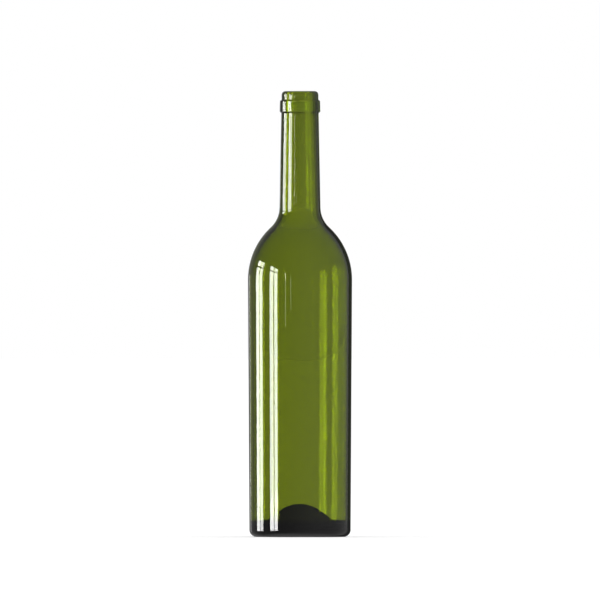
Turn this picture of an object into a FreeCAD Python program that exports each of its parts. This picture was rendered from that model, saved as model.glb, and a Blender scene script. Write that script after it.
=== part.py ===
import FreeCAD, Part
import math
import os

# Bordeaux wine bottle, empty and open, made of one piece of olive green glass.
# Millimetres. The axis of the bottle is Z, and it stands on the plane Z = 0.
# The glass is one outline in the half plane X > 0, Y = 0, turned round the axis.

# Whole bottle
overall_height = 325.0

# Body: a straight side that narrows a little from the shoulder down to the heel
body_diameter = 75.9
body_draft = 2.1
shoulder_height = 187.3
body_wall = 3.4

# Shoulder and neck: the round shoulder runs straight into the hollow root of the neck
shoulder_radius = 52.0
neck_root_radius = 20.0
neck_diameter = 27.2
neck_slope_deg = 1.07

# Finish: a plain lip above a collar that stands out from the neck by a sloping ledge on each side
collar_step = 1.2
collar_draft = 0.2
collar_drop = 6.4
collar_height = 9.4
collar_edge_radius = 1.0
collar_root_radius = 0.4
ledge_slope_deg = 25.0
lip_step = 1.2
lip_outer_radius = 2.8
lip_inner_radius = 0.8

# Cork bore: its diameter at the mouth, and how much wider it is at the depth where the cork ends
mouth_bore = 18.5
bore_widening = 2.5
cork_depth = 45.0

# Base: the heel, the flat ring that the bottle stands on, and the punt pushed up inside the ring
heel_radius = 5.2
bearing_width = 3.6
punt_edge_radius = 2.5
punt_height = 19.5
punt_slope_deg = 46.0
crown_wall = 4.6

# Inside of the base: the level valley behind the heel, and the slope up from it to the crown
valley_wall = 10.4
valley_width = 6.7
valley_radius = 2.0
inner_slope_deg = 36.0


def point(radius, height):
    return FreeCAD.Vector(radius, 0, height)


def on_line(foot, head, height):
    """Point of the line through foot and head that lies at the height."""
    share = (height - foot.z) / (head.z - foot.z)
    return foot + (head - foot) * share


def crossing(start, direction, other, other_direction):
    """Point where two lines of the half plane cross."""
    gap = other - start
    spread = direction.x * other_direction.z - direction.z * other_direction.x
    along = (gap.x * other_direction.z - gap.z * other_direction.x) / spread
    return start + direction * along


def shoulder_corners(body_foot, body_top, neck_foot, neck_top, convex_radius, hollow_radius):
    """Sharp corners of shoulder and neck root, whose arcs touch the two sides and each other."""
    body_run = (body_top - body_foot).normalize()
    neck_run = (neck_top - neck_foot).normalize()
    body_out = point(body_run.z, -body_run.x)
    neck_out = point(neck_run.z, -neck_run.x)
    shoulder_centre = body_top - body_out * convex_radius
    gap = neck_foot + neck_out * hollow_radius - shoulder_centre
    reach = convex_radius + hollow_radius
    along = gap.dot(neck_run)
    rise = math.sqrt(along ** 2 - gap.dot(gap) + reach ** 2) - along
    to_root = (gap + neck_run * rise).normalize()
    meeting = shoulder_centre + to_root * convex_radius
    slant = point(-to_root.z, to_root.x)
    return (crossing(body_top, body_run, meeting, slant),
            crossing(neck_foot, neck_run, meeting, slant))


def crown_corner(apex_height, slope_line_height, slope):
    """Corner and radius of the crown, level on the axis and tangent to the slope around it."""
    radius = (slope_line_height - apex_height) / (1 / math.cos(slope) - 1)
    return point(radius * math.tan(slope / 2), apex_height), radius


def outer_side():
    """Corners from the bearing ring up the outside to the mouth, each with its rounding radius."""
    body_foot = point((body_diameter - body_draft) / 2, 0)
    body_top = point(body_diameter / 2, shoulder_height)
    collar_top = overall_height - collar_drop
    collar_foot = collar_top - collar_height
    neck_top = point(neck_diameter / 2, collar_foot)
    neck_foot = neck_top + point(math.tan(math.radians(neck_slope_deg)), -1) * (collar_foot - shoulder_height)
    shoulder, root = shoulder_corners(body_foot, body_top, neck_foot, neck_top,
                                      shoulder_radius, neck_root_radius)
    ledge_rise = math.tan(math.radians(ledge_slope_deg))
    collar_radius = neck_top.x + collar_step
    lip_radius = collar_radius - collar_draft - lip_step
    lip_round = min(lip_outer_radius, 0.75 * (lip_radius - mouth_bore / 2))
    return [
        (body_foot, heel_radius),
        (shoulder, shoulder_radius),
        (root, neck_root_radius),
        (neck_top, collar_root_radius),
        (point(collar_radius, collar_foot + collar_step * ledge_rise), collar_edge_radius),
        (point(collar_radius - collar_draft, collar_top - lip_step * ledge_rise), collar_edge_radius),
        (point(lip_radius, collar_top), collar_root_radius),
        (point(lip_radius, overall_height), lip_round),
    ]


def inner_side():
    """Corners from the mouth down the bore, neck, shoulder and body to the crown of the base."""
    mouth = point(mouth_bore / 2, overall_height)
    cork_end = point((mouth_bore + bore_widening) / 2, overall_height - cork_depth)
    bore_foot = on_line(mouth, cork_end, shoulder_height)
    body_foot = point((body_diameter - body_draft) / 2 - body_wall, 0)
    body_top = point(body_diameter / 2 - body_wall, shoulder_height)
    shoulder, root = shoulder_corners(body_foot, body_top, bore_foot, mouth,
                                      shoulder_radius - body_wall, neck_root_radius + body_wall)
    slope = math.radians(inner_slope_deg)
    valley_side = on_line(body_foot, body_top, valley_wall)
    slope_foot = valley_side - point(valley_width, 0)
    crown, crown_radius = crown_corner(punt_height + crown_wall,
                                       valley_wall + slope_foot.x * math.tan(slope), slope)
    return [
        (mouth, lip_inner_radius),
        (root, neck_root_radius + body_wall),
        (shoulder, shoulder_radius - body_wall),
        (valley_side, valley_radius),
        (slope_foot, valley_radius),
        (crown, crown_radius),
        (point(0, crown.z), 0),
    ]


def punt():
    """Corners under the base, from the axis out to the inner edge of the bearing ring."""
    slope = math.radians(punt_slope_deg)
    edge_setback = punt_edge_radius * math.tan(slope / 2)
    mouth_radius = (body_diameter - body_draft) / 2 - heel_radius - bearing_width - edge_setback
    crown, crown_radius = crown_corner(punt_height, mouth_radius * math.tan(slope), slope)
    return [
        (point(0, crown.z), 0),
        (crown, crown_radius),
        (point(mouth_radius, 0), punt_edge_radius),
    ]


def rounded_face(corners):
    """Flat face inside the corners, each rounded by an arc that touches the sides beside it."""
    arcs = []
    for index, (corner, radius) in enumerate(corners):
        before = (corners[index - 1][0] - corner).normalize()
        after = (corners[(index + 1) % len(corners)][0] - corner).normalize()
        half_angle = before.getAngle(after) / 2
        setback = radius / math.tan(half_angle)
        inward = (before + after).normalize()
        middle = corner + inward * (radius / math.sin(half_angle) - radius)
        arcs.append((corner + before * setback, middle, corner + after * setback, radius))
    edges = []
    for index, (start, middle, end, radius) in enumerate(arcs):
        if radius > 0:
            edges.append(Part.Arc(start, middle, end).toShape())
        following = arcs[(index + 1) % len(arcs)][0]
        if end.distanceToPoint(following) > 1e-6:
            edges.append(Part.LineSegment(end, following).toShape())
    return Part.Face(Part.Wire(edges))


def bottle():
    outline = punt() + outer_side() + inner_side()
    return rounded_face(outline).revolve(point(0, 0), point(0, 1), 360)


os.makedirs("parts", exist_ok=True)
bottle().exportStep("parts/bottle.step")
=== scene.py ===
import math
import bmesh
import bpy
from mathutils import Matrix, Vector, noise


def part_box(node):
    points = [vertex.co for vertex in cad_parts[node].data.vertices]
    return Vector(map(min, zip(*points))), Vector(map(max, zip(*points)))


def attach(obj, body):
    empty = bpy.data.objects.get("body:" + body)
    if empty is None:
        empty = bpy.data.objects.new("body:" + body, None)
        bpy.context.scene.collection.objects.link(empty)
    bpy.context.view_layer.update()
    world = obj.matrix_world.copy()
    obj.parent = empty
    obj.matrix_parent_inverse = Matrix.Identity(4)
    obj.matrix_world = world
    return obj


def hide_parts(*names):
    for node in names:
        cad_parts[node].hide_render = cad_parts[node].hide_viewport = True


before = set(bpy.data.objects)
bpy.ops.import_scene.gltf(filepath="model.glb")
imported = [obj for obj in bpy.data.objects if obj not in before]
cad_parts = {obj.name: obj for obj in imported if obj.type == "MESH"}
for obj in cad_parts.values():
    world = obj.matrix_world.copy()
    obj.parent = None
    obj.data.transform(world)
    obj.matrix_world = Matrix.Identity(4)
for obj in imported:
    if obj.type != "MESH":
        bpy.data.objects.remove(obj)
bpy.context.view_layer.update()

MM = 0.001

# Whole bottle, in millimetres, from the box of the CAD node
low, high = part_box("bottle")
overall_height = (high[2] - low[2]) / MM
body_diameter = (high[0] - low[0]) / MM

# Body, shoulder and neck, as the CAD outline has them
body_draft = 2.1
shoulder_height = 187.3
body_wall = 3.4
shoulder_radius = 52.0
neck_root_radius = 20.0
neck_diameter = 27.2
neck_slope_deg = 1.07

# Finish
collar_step = 1.2
collar_draft = 0.2
collar_drop = 6.4
collar_height = 9.4
collar_edge_radius = 1.0
collar_root_radius = 0.4
ledge_slope_deg = 25.0
lip_step = 1.2
lip_outer_radius = 2.8
lip_inner_radius = 0.8
mouth_bore = 18.5
bore_widening = 2.5
cork_depth = 45.0

# Base
heel_radius = 5.2
bearing_width = 3.6
punt_edge_radius = 2.5
punt_height = 19.5
punt_slope_deg = 46.0
crown_wall = 4.6
valley_wall = 10.4
valley_width = 6.7
valley_radius = 2.0
inner_slope_deg = 36.0
inner_crown = punt_height + crown_wall

# Two mould seams up the sides. They fade in over the top of the heel, in heel radii above the floor, and
# out below the collar, in millimetres.
seam_angles = (8, 188)
seam_relief = 0.06
seam_flank_deg = 0.5
seam_half_width_deg = 0.6
seam_start = (0.6, 1.4)
seam_stop = (3, 1)

# Fine bars across the ring the bottle stands on. They fade in over the ring's inner edge.
bar_count = 90
bar_depth = 0.28
bar_top = 1.3
bar_inner_fade = (0.9, 0.5)

# Blown inside: the wall of the body wanders a little. It fades out at the base and at the shoulder.
ripple_depth = 0.01
ripple_length = 55.0
ripple_scale = 1.3
ripple_start = Vector((3.1, 7.7, 0.4))
ripple_base_fade = 15
ripple_shoulder_fade = 20

# Thick glass of the base, whose tint is darkened, partly as its own deeper colour and mostly as painted
# shade. On the outside it ends round the height of the valley, and on the inside at this distance from the
# wall.
base_shade_fade_outside = (0.6, 0.9)
base_shade_fade_inside = (3.0, 1.6)

# How finely the outline and the turn round the axis are divided
segment_deg = 1
arc_step_deg = 7.5
arc_step_length = 2.0
run_step_length = 9.0
run_end_length = 0.25
undivided_run = 3.0

# Points nearer than this to each other are one point, and nearer to the axis are on it
same_place = 1e-4


def point(radius, height):
    return Vector((radius, height))


def crossing(start, direction, other, other_direction):
    """Point where two lines of the half plane cross."""
    gap = other - start
    spread = direction.x * other_direction.y - direction.y * other_direction.x
    return start + direction * ((gap.x * other_direction.y - gap.y * other_direction.x) / spread)


def shoulder_corners(body_foot, body_top, neck_foot, neck_top, convex_radius, hollow_radius):
    """Sharp corners of shoulder and neck root, whose arcs touch the two sides and each other."""
    body_run = (body_top - body_foot).normalized()
    neck_run = (neck_top - neck_foot).normalized()
    body_out = point(body_run.y, -body_run.x)
    neck_out = point(neck_run.y, -neck_run.x)
    shoulder_centre = body_top - body_out * convex_radius
    gap = neck_foot + neck_out * hollow_radius - shoulder_centre
    reach = convex_radius + hollow_radius
    along = gap.dot(neck_run)
    rise = math.sqrt(along ** 2 - gap.dot(gap) + reach ** 2) - along
    to_root = (gap + neck_run * rise).normalized()
    meeting = shoulder_centre + to_root * convex_radius
    slant = point(-to_root.y, to_root.x)
    return (crossing(body_top, body_run, meeting, slant),
            crossing(neck_foot, neck_run, meeting, slant))


def crown_corner(apex_height, slope_line_height, slope):
    """Corner and radius of the crown, level on the axis and tangent to the slope around it."""
    radius = (slope_line_height - apex_height) / (1 / math.cos(slope) - 1)
    return point(radius * math.tan(slope / 2), apex_height), radius


def outer_side():
    """Corners from the bearing ring up the outside to the mouth, each with its rounding radius."""
    body_foot = point((body_diameter - body_draft) / 2, 0)
    body_top = point(body_diameter / 2, shoulder_height)
    collar_top = overall_height - collar_drop
    collar_foot = collar_top - collar_height
    neck_top = point(neck_diameter / 2, collar_foot)
    neck_drop = point(math.tan(math.radians(neck_slope_deg)), -1)
    neck_foot = neck_top + neck_drop * (collar_foot - shoulder_height)
    shoulder, root = shoulder_corners(body_foot, body_top, neck_foot, neck_top,
                                      shoulder_radius, neck_root_radius)
    ledge_rise = math.tan(math.radians(ledge_slope_deg))
    collar_radius = neck_top.x + collar_step
    lip_radius = collar_radius - collar_draft - lip_step
    lip_round = min(lip_outer_radius, 0.75 * (lip_radius - mouth_bore / 2))
    return [
        (body_foot, heel_radius),
        (shoulder, shoulder_radius),
        (root, neck_root_radius),
        (neck_top, collar_root_radius),
        (point(collar_radius, collar_foot + collar_step * ledge_rise), collar_edge_radius),
        (point(collar_radius - collar_draft, collar_top - lip_step * ledge_rise), collar_edge_radius),
        (point(lip_radius, collar_top), collar_root_radius),
        (point(lip_radius, overall_height), lip_round),
    ]


def inner_side():
    """Corners from the mouth down the bore, neck, shoulder and body to the crown of the base."""
    mouth = point(mouth_bore / 2, overall_height)
    cork_end = point((mouth_bore + bore_widening) / 2, overall_height - cork_depth)
    bore_foot = mouth + (cork_end - mouth) * ((mouth.y - shoulder_height) / cork_depth)
    body_foot = point((body_diameter - body_draft) / 2 - body_wall, 0)
    body_top = point(body_diameter / 2 - body_wall, shoulder_height)
    shoulder, root = shoulder_corners(body_foot, body_top, bore_foot, mouth,
                                      shoulder_radius - body_wall, neck_root_radius + body_wall)
    slope = math.radians(inner_slope_deg)
    valley_side = body_foot + (body_top - body_foot) * (valley_wall / shoulder_height)
    slope_foot = valley_side - point(valley_width, 0)
    crown, crown_radius = crown_corner(inner_crown, valley_wall + slope_foot.x * math.tan(slope), slope)
    return [
        (mouth, lip_inner_radius),
        (root, neck_root_radius + body_wall),
        (shoulder, shoulder_radius - body_wall),
        (valley_side, valley_radius),
        (slope_foot, valley_radius),
        (crown, crown_radius),
        (point(0, crown.y), 0),
    ]


def punt():
    """Corners under the base, from the axis out to the inner edge of the bearing ring."""
    slope = math.radians(punt_slope_deg)
    edge_setback = punt_edge_radius * math.tan(slope / 2)
    mouth_radius = (body_diameter - body_draft) / 2 - heel_radius - bearing_width - edge_setback
    crown, crown_radius = crown_corner(punt_height, mouth_radius * math.tan(slope), slope)
    return [
        (point(0, crown.y), 0),
        (crown, crown_radius),
        (point(mouth_radius, 0), punt_edge_radius),
    ]


def rounding(before, corner, after, radius):
    """Points of the arc of that radius which touches the two sides of a corner."""
    if radius == 0:
        return [corner]
    to_before = (before - corner).normalized()
    to_after = (after - corner).normalized()
    half_angle = to_before.angle(to_after) / 2
    centre = corner + (to_before + to_after).normalized() * (radius / math.sin(half_angle))
    spoke = corner + to_before * (radius / math.tan(half_angle)) - centre
    turn = math.pi - 2 * half_angle
    side = -1 if to_before.x * to_after.y - to_before.y * to_after.x > 0 else 1
    steps = max(4, math.ceil(math.degrees(turn) / arc_step_deg), math.ceil(radius * turn / arc_step_length))
    points = []
    for step in range(steps + 1):
        angle = side * turn * step / steps
        points.append(centre + point(spoke.x * math.cos(angle) - spoke.y * math.sin(angle),
                                     spoke.x * math.sin(angle) + spoke.y * math.cos(angle)))
    return points


def outline():
    """Closed outline of the glass as (point, zone). Straight runs are divided, most closely at their ends."""
    corners = []
    for zone, part in (("punt", punt()), ("outside", outer_side()), ("inside", inner_side())):
        corners += [(corner, radius, zone) for corner, radius in part]
    rounded = []
    for index, (corner, radius, zone) in enumerate(corners):
        before = corners[index - 1][0]
        after = corners[(index + 1) % len(corners)][0]
        for place in rounding(before, corner, after, radius):
            if not rounded or (place - rounded[-1][0]).length > same_place:
                rounded.append((place, zone))
    divided = []
    for index, (place, zone) in enumerate(rounded):
        following = rounded[(index + 1) % len(rounded)][0]
        divided.append((place, zone))
        if place.x < same_place and following.x < same_place:
            continue
        run = (following - place).length
        if run < undivided_run:
            continue
        pieces = int(run // run_step_length) + 1
        stops = [piece / pieces for piece in range(1, pieces)]
        for stop in [run_end_length / run] + stops + [1 - run_end_length / run]:
            divided.append((place.lerp(following, stop), zone))
    return divided


def smooth_step(value, start, end):
    """0 at start, 1 at end, with level ends."""
    share = min(max((value - start) / (end - start), 0), 1)
    return share * share * (3 - 2 * share)


def turn_angles():
    """Angles round the axis: even steps, with one more on each flank of a mould seam."""
    angles = set(range(0, 360, segment_deg))
    for seam in seam_angles:
        angles |= {seam - seam_flank_deg, seam + seam_flank_deg}
    return [math.radians(angle) for angle in sorted(angles)]


def seam_height(angle, height):
    """How far a mould seam stands out of the outside of body, shoulder and neck."""
    collar_foot = overall_height - collar_drop - collar_height
    reach = smooth_step(height, seam_start[0] * heel_radius, seam_start[1] * heel_radius)
    reach *= 1 - smooth_step(height, collar_foot - seam_stop[0], collar_foot - seam_stop[1])
    nearest = min(abs(math.degrees(angle) - seam) for seam in seam_angles)
    return seam_relief * reach * max(0, 1 - nearest / seam_half_width_deg)


def bar_lift(angle, radius, height):
    """How far the glass of the bearing ring lies above the level of its bars."""
    ring_inner = (body_diameter - body_draft) / 2 - heel_radius - bearing_width
    across = smooth_step(radius, ring_inner - bar_inner_fade[0], ring_inner + bar_inner_fade[1])
    across *= 1 - smooth_step(height, 0.3 * bar_top, bar_top)
    return bar_depth * across * (0.5 - 0.5 * math.cos(bar_count * angle))


def ripple(angle, height):
    """Slow wander of the inner surface, in and out, the same on every run."""
    where = Vector((math.cos(angle), math.sin(angle), height / ripple_length))
    return ripple_depth * noise.noise(where * ripple_scale + ripple_start)


def thick_glass_shade(place, zone):
    """0 where the glass is one wall thick, 1 in the thick glass of the base, whose tint takes painted shade.
    """
    if zone == "punt":
        return 1.0
    if zone == "outside":
        below, above = base_shade_fade_outside
        return 1 - smooth_step(place.y, valley_wall - below, valley_wall + above)
    wall_inside = body_diameter / 2 - body_wall
    start, end = base_shade_fade_inside
    beside_wall = smooth_step(place.x, wall_inside - start, wall_inside - end)
    if place.y < inner_crown + 1:
        return 1 - beside_wall * smooth_step(place.y, valley_wall, valley_wall + valley_radius)
    return 0.0


def bottle_mesh():
    """The outline turned round the axis, with the marks that the mould leaves."""
    ring_points = outline()
    angles = turn_angles()
    mesh = bmesh.new()
    thick_glass_shade_layer = mesh.verts.layers.float.new("thick_glass_shade")
    rings = []
    for index, (place, zone) in enumerate(ring_points):
        along = ring_points[(index + 1) % len(ring_points)][0] - ring_points[index - 1][0]
        outward = point(along.y, -along.x).normalized()
        ring = []
        for angle in angles if place.x > same_place else angles[:1]:
            radius, height = place
            if zone == "outside":
                shift = seam_height(angle, height)
                radius += outward.x * shift
                height += outward.y * shift
            if zone == "inside" and shoulder_height > height > inner_crown:
                fade = smooth_step(height, inner_crown, inner_crown + ripple_base_fade)
                fade *= 1 - smooth_step(height, shoulder_height - ripple_shoulder_fade, shoulder_height)
                radius += fade * ripple(angle, height)
            if zone != "inside" and height < bar_top:
                height += bar_lift(angle, place.x, place.y)
            vert = mesh.verts.new(Vector((radius * math.cos(angle), radius * math.sin(angle), height)) * MM)
            # Mask of the thick glass of the base, where the material paints shade into the tint
            vert[thick_glass_shade_layer] = thick_glass_shade(place, zone)
            ring.append(vert)
        rings.append(ring)
    for ring, above in zip(rings, rings[1:]):
        for step in range(len(angles)):
            following = (step + 1) % len(angles)
            if len(ring) == 1:
                mesh.faces.new((ring[0], above[following], above[step]))
            elif len(above) == 1:
                mesh.faces.new((ring[step], ring[following], above[0]))
            else:
                mesh.faces.new((ring[step], ring[following], above[following], above[step]))
    for face in mesh.faces:
        face.smooth = True
    data = bpy.data.meshes.new("bottle_glass")
    mesh.to_mesh(data)
    mesh.free()
    return data


def add_node(tree, kind, settings=None, inputs=None):
    """New node of a kind, with its settings and unlinked input values."""
    made = tree.nodes.new(kind)
    for name, value in (settings or {}).items():
        setattr(made, name, value)
    for name, value in (inputs or {}).items():
        made.inputs[name].default_value = value
    return made


def ramp(tree, value, start, end, low_value, high_value):
    """Smooth change of a value from low_value at start to high_value at end."""
    made = add_node(tree, "ShaderNodeMapRange", {"interpolation_type": "SMOOTHSTEP"},
                    {"From Min": start, "From Max": end, "To Min": low_value, "To Max": high_value})
    tree.links.new(value, made.inputs["Value"])
    return made.outputs["Result"]


def feed(tree, slot, value):
    """Gives an input a number, or links it to an output."""
    if isinstance(value, (int, float)):
        slot.default_value = value
    else:
        tree.links.new(value, slot)


def maths(tree, operation, first, second, clamp=False):
    """Result of a Math node whose two inputs are outputs of other nodes or numbers."""
    made = add_node(tree, "ShaderNodeMath", {"operation": operation, "use_clamp": clamp})
    feed(tree, made.inputs[0], first)
    feed(tree, made.inputs[1], second)
    return made.outputs["Value"]


def mixed(tree, share, first, second):
    """Float that goes from first to second with the share. Input 1 of a Mix node is its vector factor."""
    made = add_node(tree, "ShaderNodeMix", {"data_type": "FLOAT"})
    feed(tree, made.inputs[0], share)
    feed(tree, made.inputs[2], first)
    feed(tree, made.inputs[3], second)
    return made.outputs[0]


# Olive glass. A straight look through both walls shows about this share of each colour. Part of it is in
# the tint at the surface and the rest in the depth of the glass.
refraction = 1.52
see_through = (0.108, 0.142, 0.0014)
surface_share = 0.6
absorption_density = 391.0
absorption_colour = (0.687, 0.732, 0.048)

# Level of the tint in the thick glass of the base, partly its own deeper colour and mostly painted shade, and
# on the collar, where it is painted light, which starts and ends over a millimetre
base_shade_share = 0.015
collar_painted_light = 1.22

# Streaks and waves of the blown glass run along the bottle, and the bearing ring is scuffed up to 1.4 mm
streak_stretch = 0.12
streak_scale = 70.0
streak_level = 0.985
wave_scale = 45.0
wave_strength = 0.15
wave_distance = 0.00001
scuff_scale = 900.0
scuff_heights = (0.0002, 0.0014)
scuff_roughness = (0.05, 0.35)


def olive_glass():
    """Clear olive green glass: part of the colour in its depth, part at the surface."""
    material = bpy.data.materials.new("olive_glass")
    material.use_nodes = True
    tree = material.node_tree
    glass = tree.nodes["Principled BSDF"]
    glass.inputs["IOR"].default_value = refraction
    glass.inputs["Transmission Weight"].default_value = 1.0

    place = add_node(tree, "ShaderNodeTexCoord").outputs["Object"]
    stretch = add_node(tree, "ShaderNodeMapping", None, {"Scale": (1, 1, streak_stretch)})
    tree.links.new(place, stretch.inputs["Vector"])
    streaks = add_node(tree, "ShaderNodeTexNoise", None,
                       {"Scale": streak_scale, "Detail": 3.0, "Roughness": 0.55})
    tree.links.new(stretch.outputs["Vector"], streaks.inputs["Vector"])

    base_shade = add_node(tree, "ShaderNodeAttribute", {"attribute_name": "thick_glass_shade"}).outputs["Fac"]
    # Painted shade: the tint in the thick glass of the base goes nearly black, beyond what its own deeper
    # colour gives
    level = mixed(tree, base_shade, 1.0, base_shade_share)
    height = add_node(tree, "ShaderNodeSeparateXYZ")
    tree.links.new(place, height.inputs["Vector"])
    collar_top = (overall_height - collar_drop) * MM
    collar_foot = collar_top - collar_height * MM
    # Painted light: the tint is lifted over the height of the collar
    collar = maths(tree, "MULTIPLY", ramp(tree, height.outputs["Z"], collar_foot, collar_foot + MM, 0.0, 1.0),
                   ramp(tree, height.outputs["Z"], collar_top - MM, collar_top, 1.0, 0.0))
    level = maths(tree, "MULTIPLY", level, mixed(tree, collar, 1.0, collar_painted_light))
    level = maths(tree, "MULTIPLY", level, ramp(tree, streaks.outputs["Fac"], 0.3, 0.7, streak_level, 1.0))
    tint = add_node(tree, "ShaderNodeVectorMath", {"operation": "SCALE"})
    tint.inputs[0].default_value = [share ** (surface_share / 2) for share in see_through]
    tree.links.new(level, tint.inputs["Scale"])
    tree.links.new(tint.outputs["Vector"], glass.inputs["Base Color"])

    scuffs = add_node(tree, "ShaderNodeTexNoise", None, {"Scale": scuff_scale, "Detail": 4.0})
    tree.links.new(place, scuffs.inputs["Vector"])
    worn = ramp(tree, height.outputs["Z"], *scuff_heights, 1.0, 0.0)
    rough = maths(tree, "MULTIPLY", worn, ramp(tree, scuffs.outputs["Fac"], 0.4, 0.65, *scuff_roughness))
    tree.links.new(rough, glass.inputs["Roughness"])

    waves = add_node(tree, "ShaderNodeTexNoise", None,
                     {"Scale": wave_scale, "Detail": 1.0, "Roughness": 0.4})
    tree.links.new(stretch.outputs["Vector"], waves.inputs["Vector"])
    bump = add_node(tree, "ShaderNodeBump", None, {"Strength": wave_strength, "Distance": wave_distance})
    tree.links.new(waves.outputs["Fac"], bump.inputs["Height"])
    tree.links.new(bump.outputs["Normal"], glass.inputs["Normal"])

    inside = add_node(tree, "ShaderNodeVolumeAbsorption", None,
                      {"Color": (*absorption_colour, 1), "Density": absorption_density})
    tree.links.new(inside.outputs["Volume"], tree.nodes["Material Output"].inputs["Volume"])
    return material


def build_bottle():
    piece = bpy.data.objects.new("bottle_glass", bottle_mesh())
    bpy.context.scene.collection.objects.link(piece)
    piece.data.materials.append(olive_glass())
    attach(piece, "root")
    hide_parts("bottle")


# Studio. The camera meets white, and so does a look through the glass, apart from high up. A plain soft
# light falls on the floor. Reflections meet a grey room with tall panels of light on the left. A pair of
# bounds is the part of a direction along an axis, from which and to which something changes.
room_light = 0.8
sky_rise = (math.sin(math.radians(14)), math.sin(math.radians(30)))
sky_dark = 0.1
room_greys = (0.22, 0.42)
room_dark = 0.06
room_behind = (0.70, 0.80)
room_middle = (-0.03, 0.03)
room_rise = (math.sin(math.radians(4)), math.sin(math.radians(22)))
room_high = 0.12
floor_light = 0.76
floor_dip = (math.sin(math.radians(-72)), math.sin(math.radians(-40)))


def reflected(tree, rays):
    """1 for a ray that gloss or glass has reflected, 0 for one that came straight or only went through."""
    return maths(tree, "SUBTRACT", rays.outputs["Glossy Depth"], rays.outputs["Is Diffuse Ray"], True)


def room_level(tree, rays, direction):
    """Grey of the room in reflections: lighter on the right, and dark behind the bottle on the right.

    Steeply down it is the light of the floor. For a ray that has been inside the glass it is dark above.
    """
    grey = ramp(tree, direction.outputs["X"], -1.0, 1.0, *room_greys)
    behind = maths(tree, "MULTIPLY", ramp(tree, direction.outputs["Y"], *room_behind, 0.0, 1.0),
                   ramp(tree, direction.outputs["X"], *room_middle, 0.0, 1.0))
    level = mixed(tree, behind, grey, room_dark)
    above = ramp(tree, direction.outputs["Z"], *room_rise, 1.0, room_high)
    below = ramp(tree, direction.outputs["Z"], *floor_dip, 1.0, 0.0)
    inside = maths(tree, "MINIMUM", rays.outputs["Transmission Depth"], 1.0)
    return mixed(tree, inside, mixed(tree, below, level, floor_light), maths(tree, "MULTIPLY", level, above))


def studio_world():
    """White for the camera, plain light for matt surfaces, and the grey room for reflections."""
    world = bpy.data.worlds.new("studio")
    bpy.context.scene.world = world
    world.use_nodes = True
    tree = world.node_tree
    tree.nodes.clear()
    rays = add_node(tree, "ShaderNodeLightPath")
    direction = add_node(tree, "ShaderNodeSeparateXYZ")
    place = add_node(tree, "ShaderNodeTexCoord")
    tree.links.new(place.outputs["Generated"], direction.inputs["Vector"])
    through = ramp(tree, direction.outputs["Z"], *sky_rise, 1.0, sky_dark)
    level = mixed(tree, rays.outputs["Is Transmission Ray"], room_light, through)
    level = maths(tree, "MAXIMUM", level, rays.outputs["Is Camera Ray"])
    level = mixed(tree, reflected(tree, rays), level, room_level(tree, rays, direction))
    light = add_node(tree, "ShaderNodeBackground", None, {"Color": (1, 1, 1, 1)})
    tree.links.new(level, light.inputs["Strength"])
    output = add_node(tree, "ShaderNodeOutputWorld")
    tree.links.new(light.outputs["Background"], output.inputs["Surface"])


# The panels stand in one plane, a long wall on the left. Heights are in metres above the floor, and angles
# go round the bottle's axis from the camera. A level of 1 is white. The first level is for reflections,
# and the second for those that have also crossed more than through_depth surfaces of glass.
wall_distance = 2.0
through_depth = 2.5

# A window box has a dark bar near its top, and its part below base_top shows on the dark base
box_foot = -0.38
base_top = -0.007
top_bar = (0.61, 0.67)
box_top = 0.87

# name, from angle, to angle, first level, second level, lift of the first level below base_top
window_boxes = (
    ("side_a", 114.2, 103.3, 12, 17, 1.0),
    ("side_b", 101.5, 98.3, 12, 24, 1.0),
    ("side_c", 98.3, 92.1, 12, 26, 1.0),
    ("front_a", 71.1, 61.6, 15.5, 33, 1.25),
    ("front_b", 59.3, 51.7, 15.5, 24, 1.25),
)

# name, from angle, to angle, low end, high end, first level, second level
single_panels = (
    ("slit", 33.0, 32.1, 0.15, top_bar[0], 16, 16),
    ("slit_foot", 33.0, 32.1, 0.11, 0.15, 5, 5),
    ("slit_cap", 34.5, 31.5, top_bar[1], 0.80, 12, 0),
    ("thread", 20.9, 20.3, 0.10, 0.50, 5, 0),
    ("rim", 152.3, 149.3, -0.6, 0.33, 1.8, 0),
)


def wall_box(name, from_deg, to_deg, low_height, high_height, gloss_level, through_level):
    """Flat upright panel in the wall that shows in reflections only and lights no matt surface."""
    near, far = [-wall_distance / math.tan(math.radians(angle)) for angle in (from_deg, to_deg)]
    width = abs(near - far)
    height = high_height - low_height
    panel = bpy.data.lights.new(name, "AREA")
    panel.shape = "RECTANGLE"
    panel.size = width
    panel.size_y = height
    panel.energy = math.pi * width * height
    panel.use_nodes = True
    tree = panel.node_tree
    rays = add_node(tree, "ShaderNodeLightPath")
    through = maths(tree, "GREATER_THAN", rays.outputs["Transmission Depth"], through_depth)
    level = maths(tree, "MULTIPLY", mixed(tree, through, gloss_level, through_level), reflected(tree, rays))
    tree.links.new(level, tree.nodes["Emission"].inputs["Strength"])
    lamp = bpy.data.objects.new(name, panel)
    bpy.context.scene.collection.objects.link(lamp)
    lamp.location = (-wall_distance, (near + far) / 2, (low_height + high_height) / 2)
    lamp.rotation_euler = Vector((1, 0, 0)).to_track_quat("-Z", "Y").to_euler()
    lamp.visible_diffuse = False


def window_box(name, from_deg, to_deg, gloss_level, through_level, base_lift):
    """A tall panel in three parts, with a gap under the top one, which shows as a thin dark bar."""
    wall_box(name + "_base", from_deg, to_deg, box_foot, base_top, gloss_level * base_lift, through_level)
    wall_box(name, from_deg, to_deg, base_top, top_bar[0], gloss_level, through_level)
    wall_box(name + "_cap", from_deg, to_deg, top_bar[1], box_top, gloss_level, through_level)


def studio_lights():
    for box in window_boxes:
        window_box(*box)
    for panel in single_panels:
        wall_box(*panel)


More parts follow.
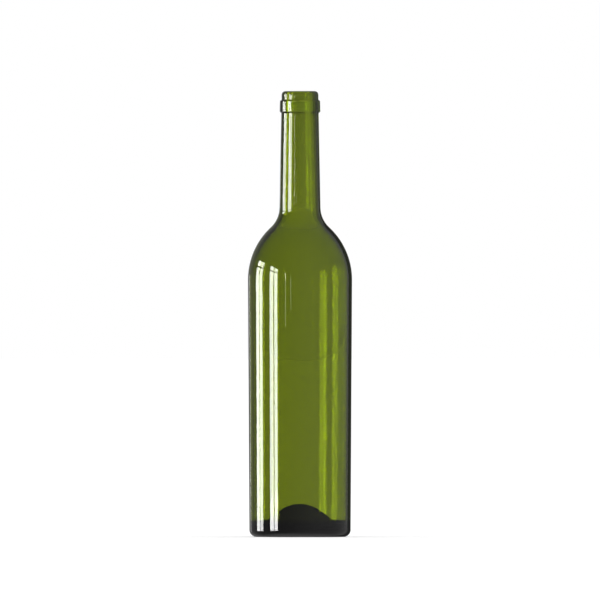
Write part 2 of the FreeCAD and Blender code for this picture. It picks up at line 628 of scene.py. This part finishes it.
# Floor: matt and pale, with just enough glow to be white for the camera. A look through the glass meets
# the glow too, but only away from the bottle, at these distances from the axis, so that round the bottle's
# foot it meets a painted shadow. Reflections miss the floor.
floor_size = 120
floor_grey = 0.95
floor_white = 1.08
floor_painted_shadow_distances = (0.05, 0.15)


def studio_floor():
    """Floor that keeps the bottle's shadow, with a painted shadow round its foot for looks through the glass.
    """
    bpy.ops.mesh.primitive_plane_add(size=floor_size, location=(0, 0, 0))
    floor = bpy.context.object
    floor.name = "floor"
    material = bpy.data.materials.new("floor")
    material.use_nodes = True
    tree = material.node_tree
    matt = tree.nodes["Principled BSDF"]
    matt.inputs["Base Color"].default_value = (floor_grey, floor_grey, floor_grey, 1)
    matt.inputs["Roughness"].default_value = 1.0
    matt.inputs["Specular IOR Level"].default_value = 0.0
    rays = add_node(tree, "ShaderNodeLightPath")
    place = add_node(tree, "ShaderNodeTexCoord")
    distance = add_node(tree, "ShaderNodeVectorMath", {"operation": "LENGTH"})
    tree.links.new(place.outputs["Object"], distance.inputs[0])
    # Painted shadow: a look through the glass meets no glow near the bottle's foot
    far = ramp(tree, distance.outputs["Value"], *floor_painted_shadow_distances, 0.0, 1.0)
    seen = maths(tree, "MULTIPLY", rays.outputs["Is Transmission Ray"], far)
    seen = maths(tree, "MAXIMUM", rays.outputs["Is Camera Ray"], seen)
    glow = add_node(tree, "ShaderNodeEmission")
    lift = floor_white - floor_grey * room_light
    tree.links.new(maths(tree, "MULTIPLY", seen, lift), glow.inputs["Strength"])
    both = add_node(tree, "ShaderNodeAddShader")
    tree.links.new(matt.outputs["BSDF"], both.inputs[0])
    tree.links.new(glow.outputs["Emission"], both.inputs[1])
    clear = add_node(tree, "ShaderNodeBsdfTransparent")
    surface = add_node(tree, "ShaderNodeMixShader")
    tree.links.new(reflected(tree, rays), surface.inputs["Fac"])
    tree.links.new(both.outputs["Shader"], surface.inputs[1])
    tree.links.new(clear.outputs["BSDF"], surface.inputs[2])
    tree.links.new(surface.outputs["Shader"], tree.nodes["Material Output"].inputs["Surface"])
    floor.data.materials.append(material)


# Camera: level, far off, looking along +Y. The picture's width is what it takes in at the bottle.
camera_distance = 20.0
camera_height = 0.1727
picture_width = 0.4375
sensor_width = 36
clip_end = 200


def studio_camera():
    lens = bpy.data.cameras.new("camera")
    lens.sensor_width = sensor_width
    lens.lens = sensor_width * camera_distance / picture_width
    lens.clip_end = clip_end
    camera = bpy.data.objects.new("camera", lens)
    bpy.context.scene.collection.objects.link(camera)
    camera.location = (0, -camera_distance, camera_height)
    camera.rotation_euler = (math.pi / 2, 0, 0)
    bpy.context.scene.camera = camera


build_bottle()
studio_world()
studio_lights()
studio_floor()
studio_camera()
bpy.context.scene.view_settings.view_transform = "Standard"
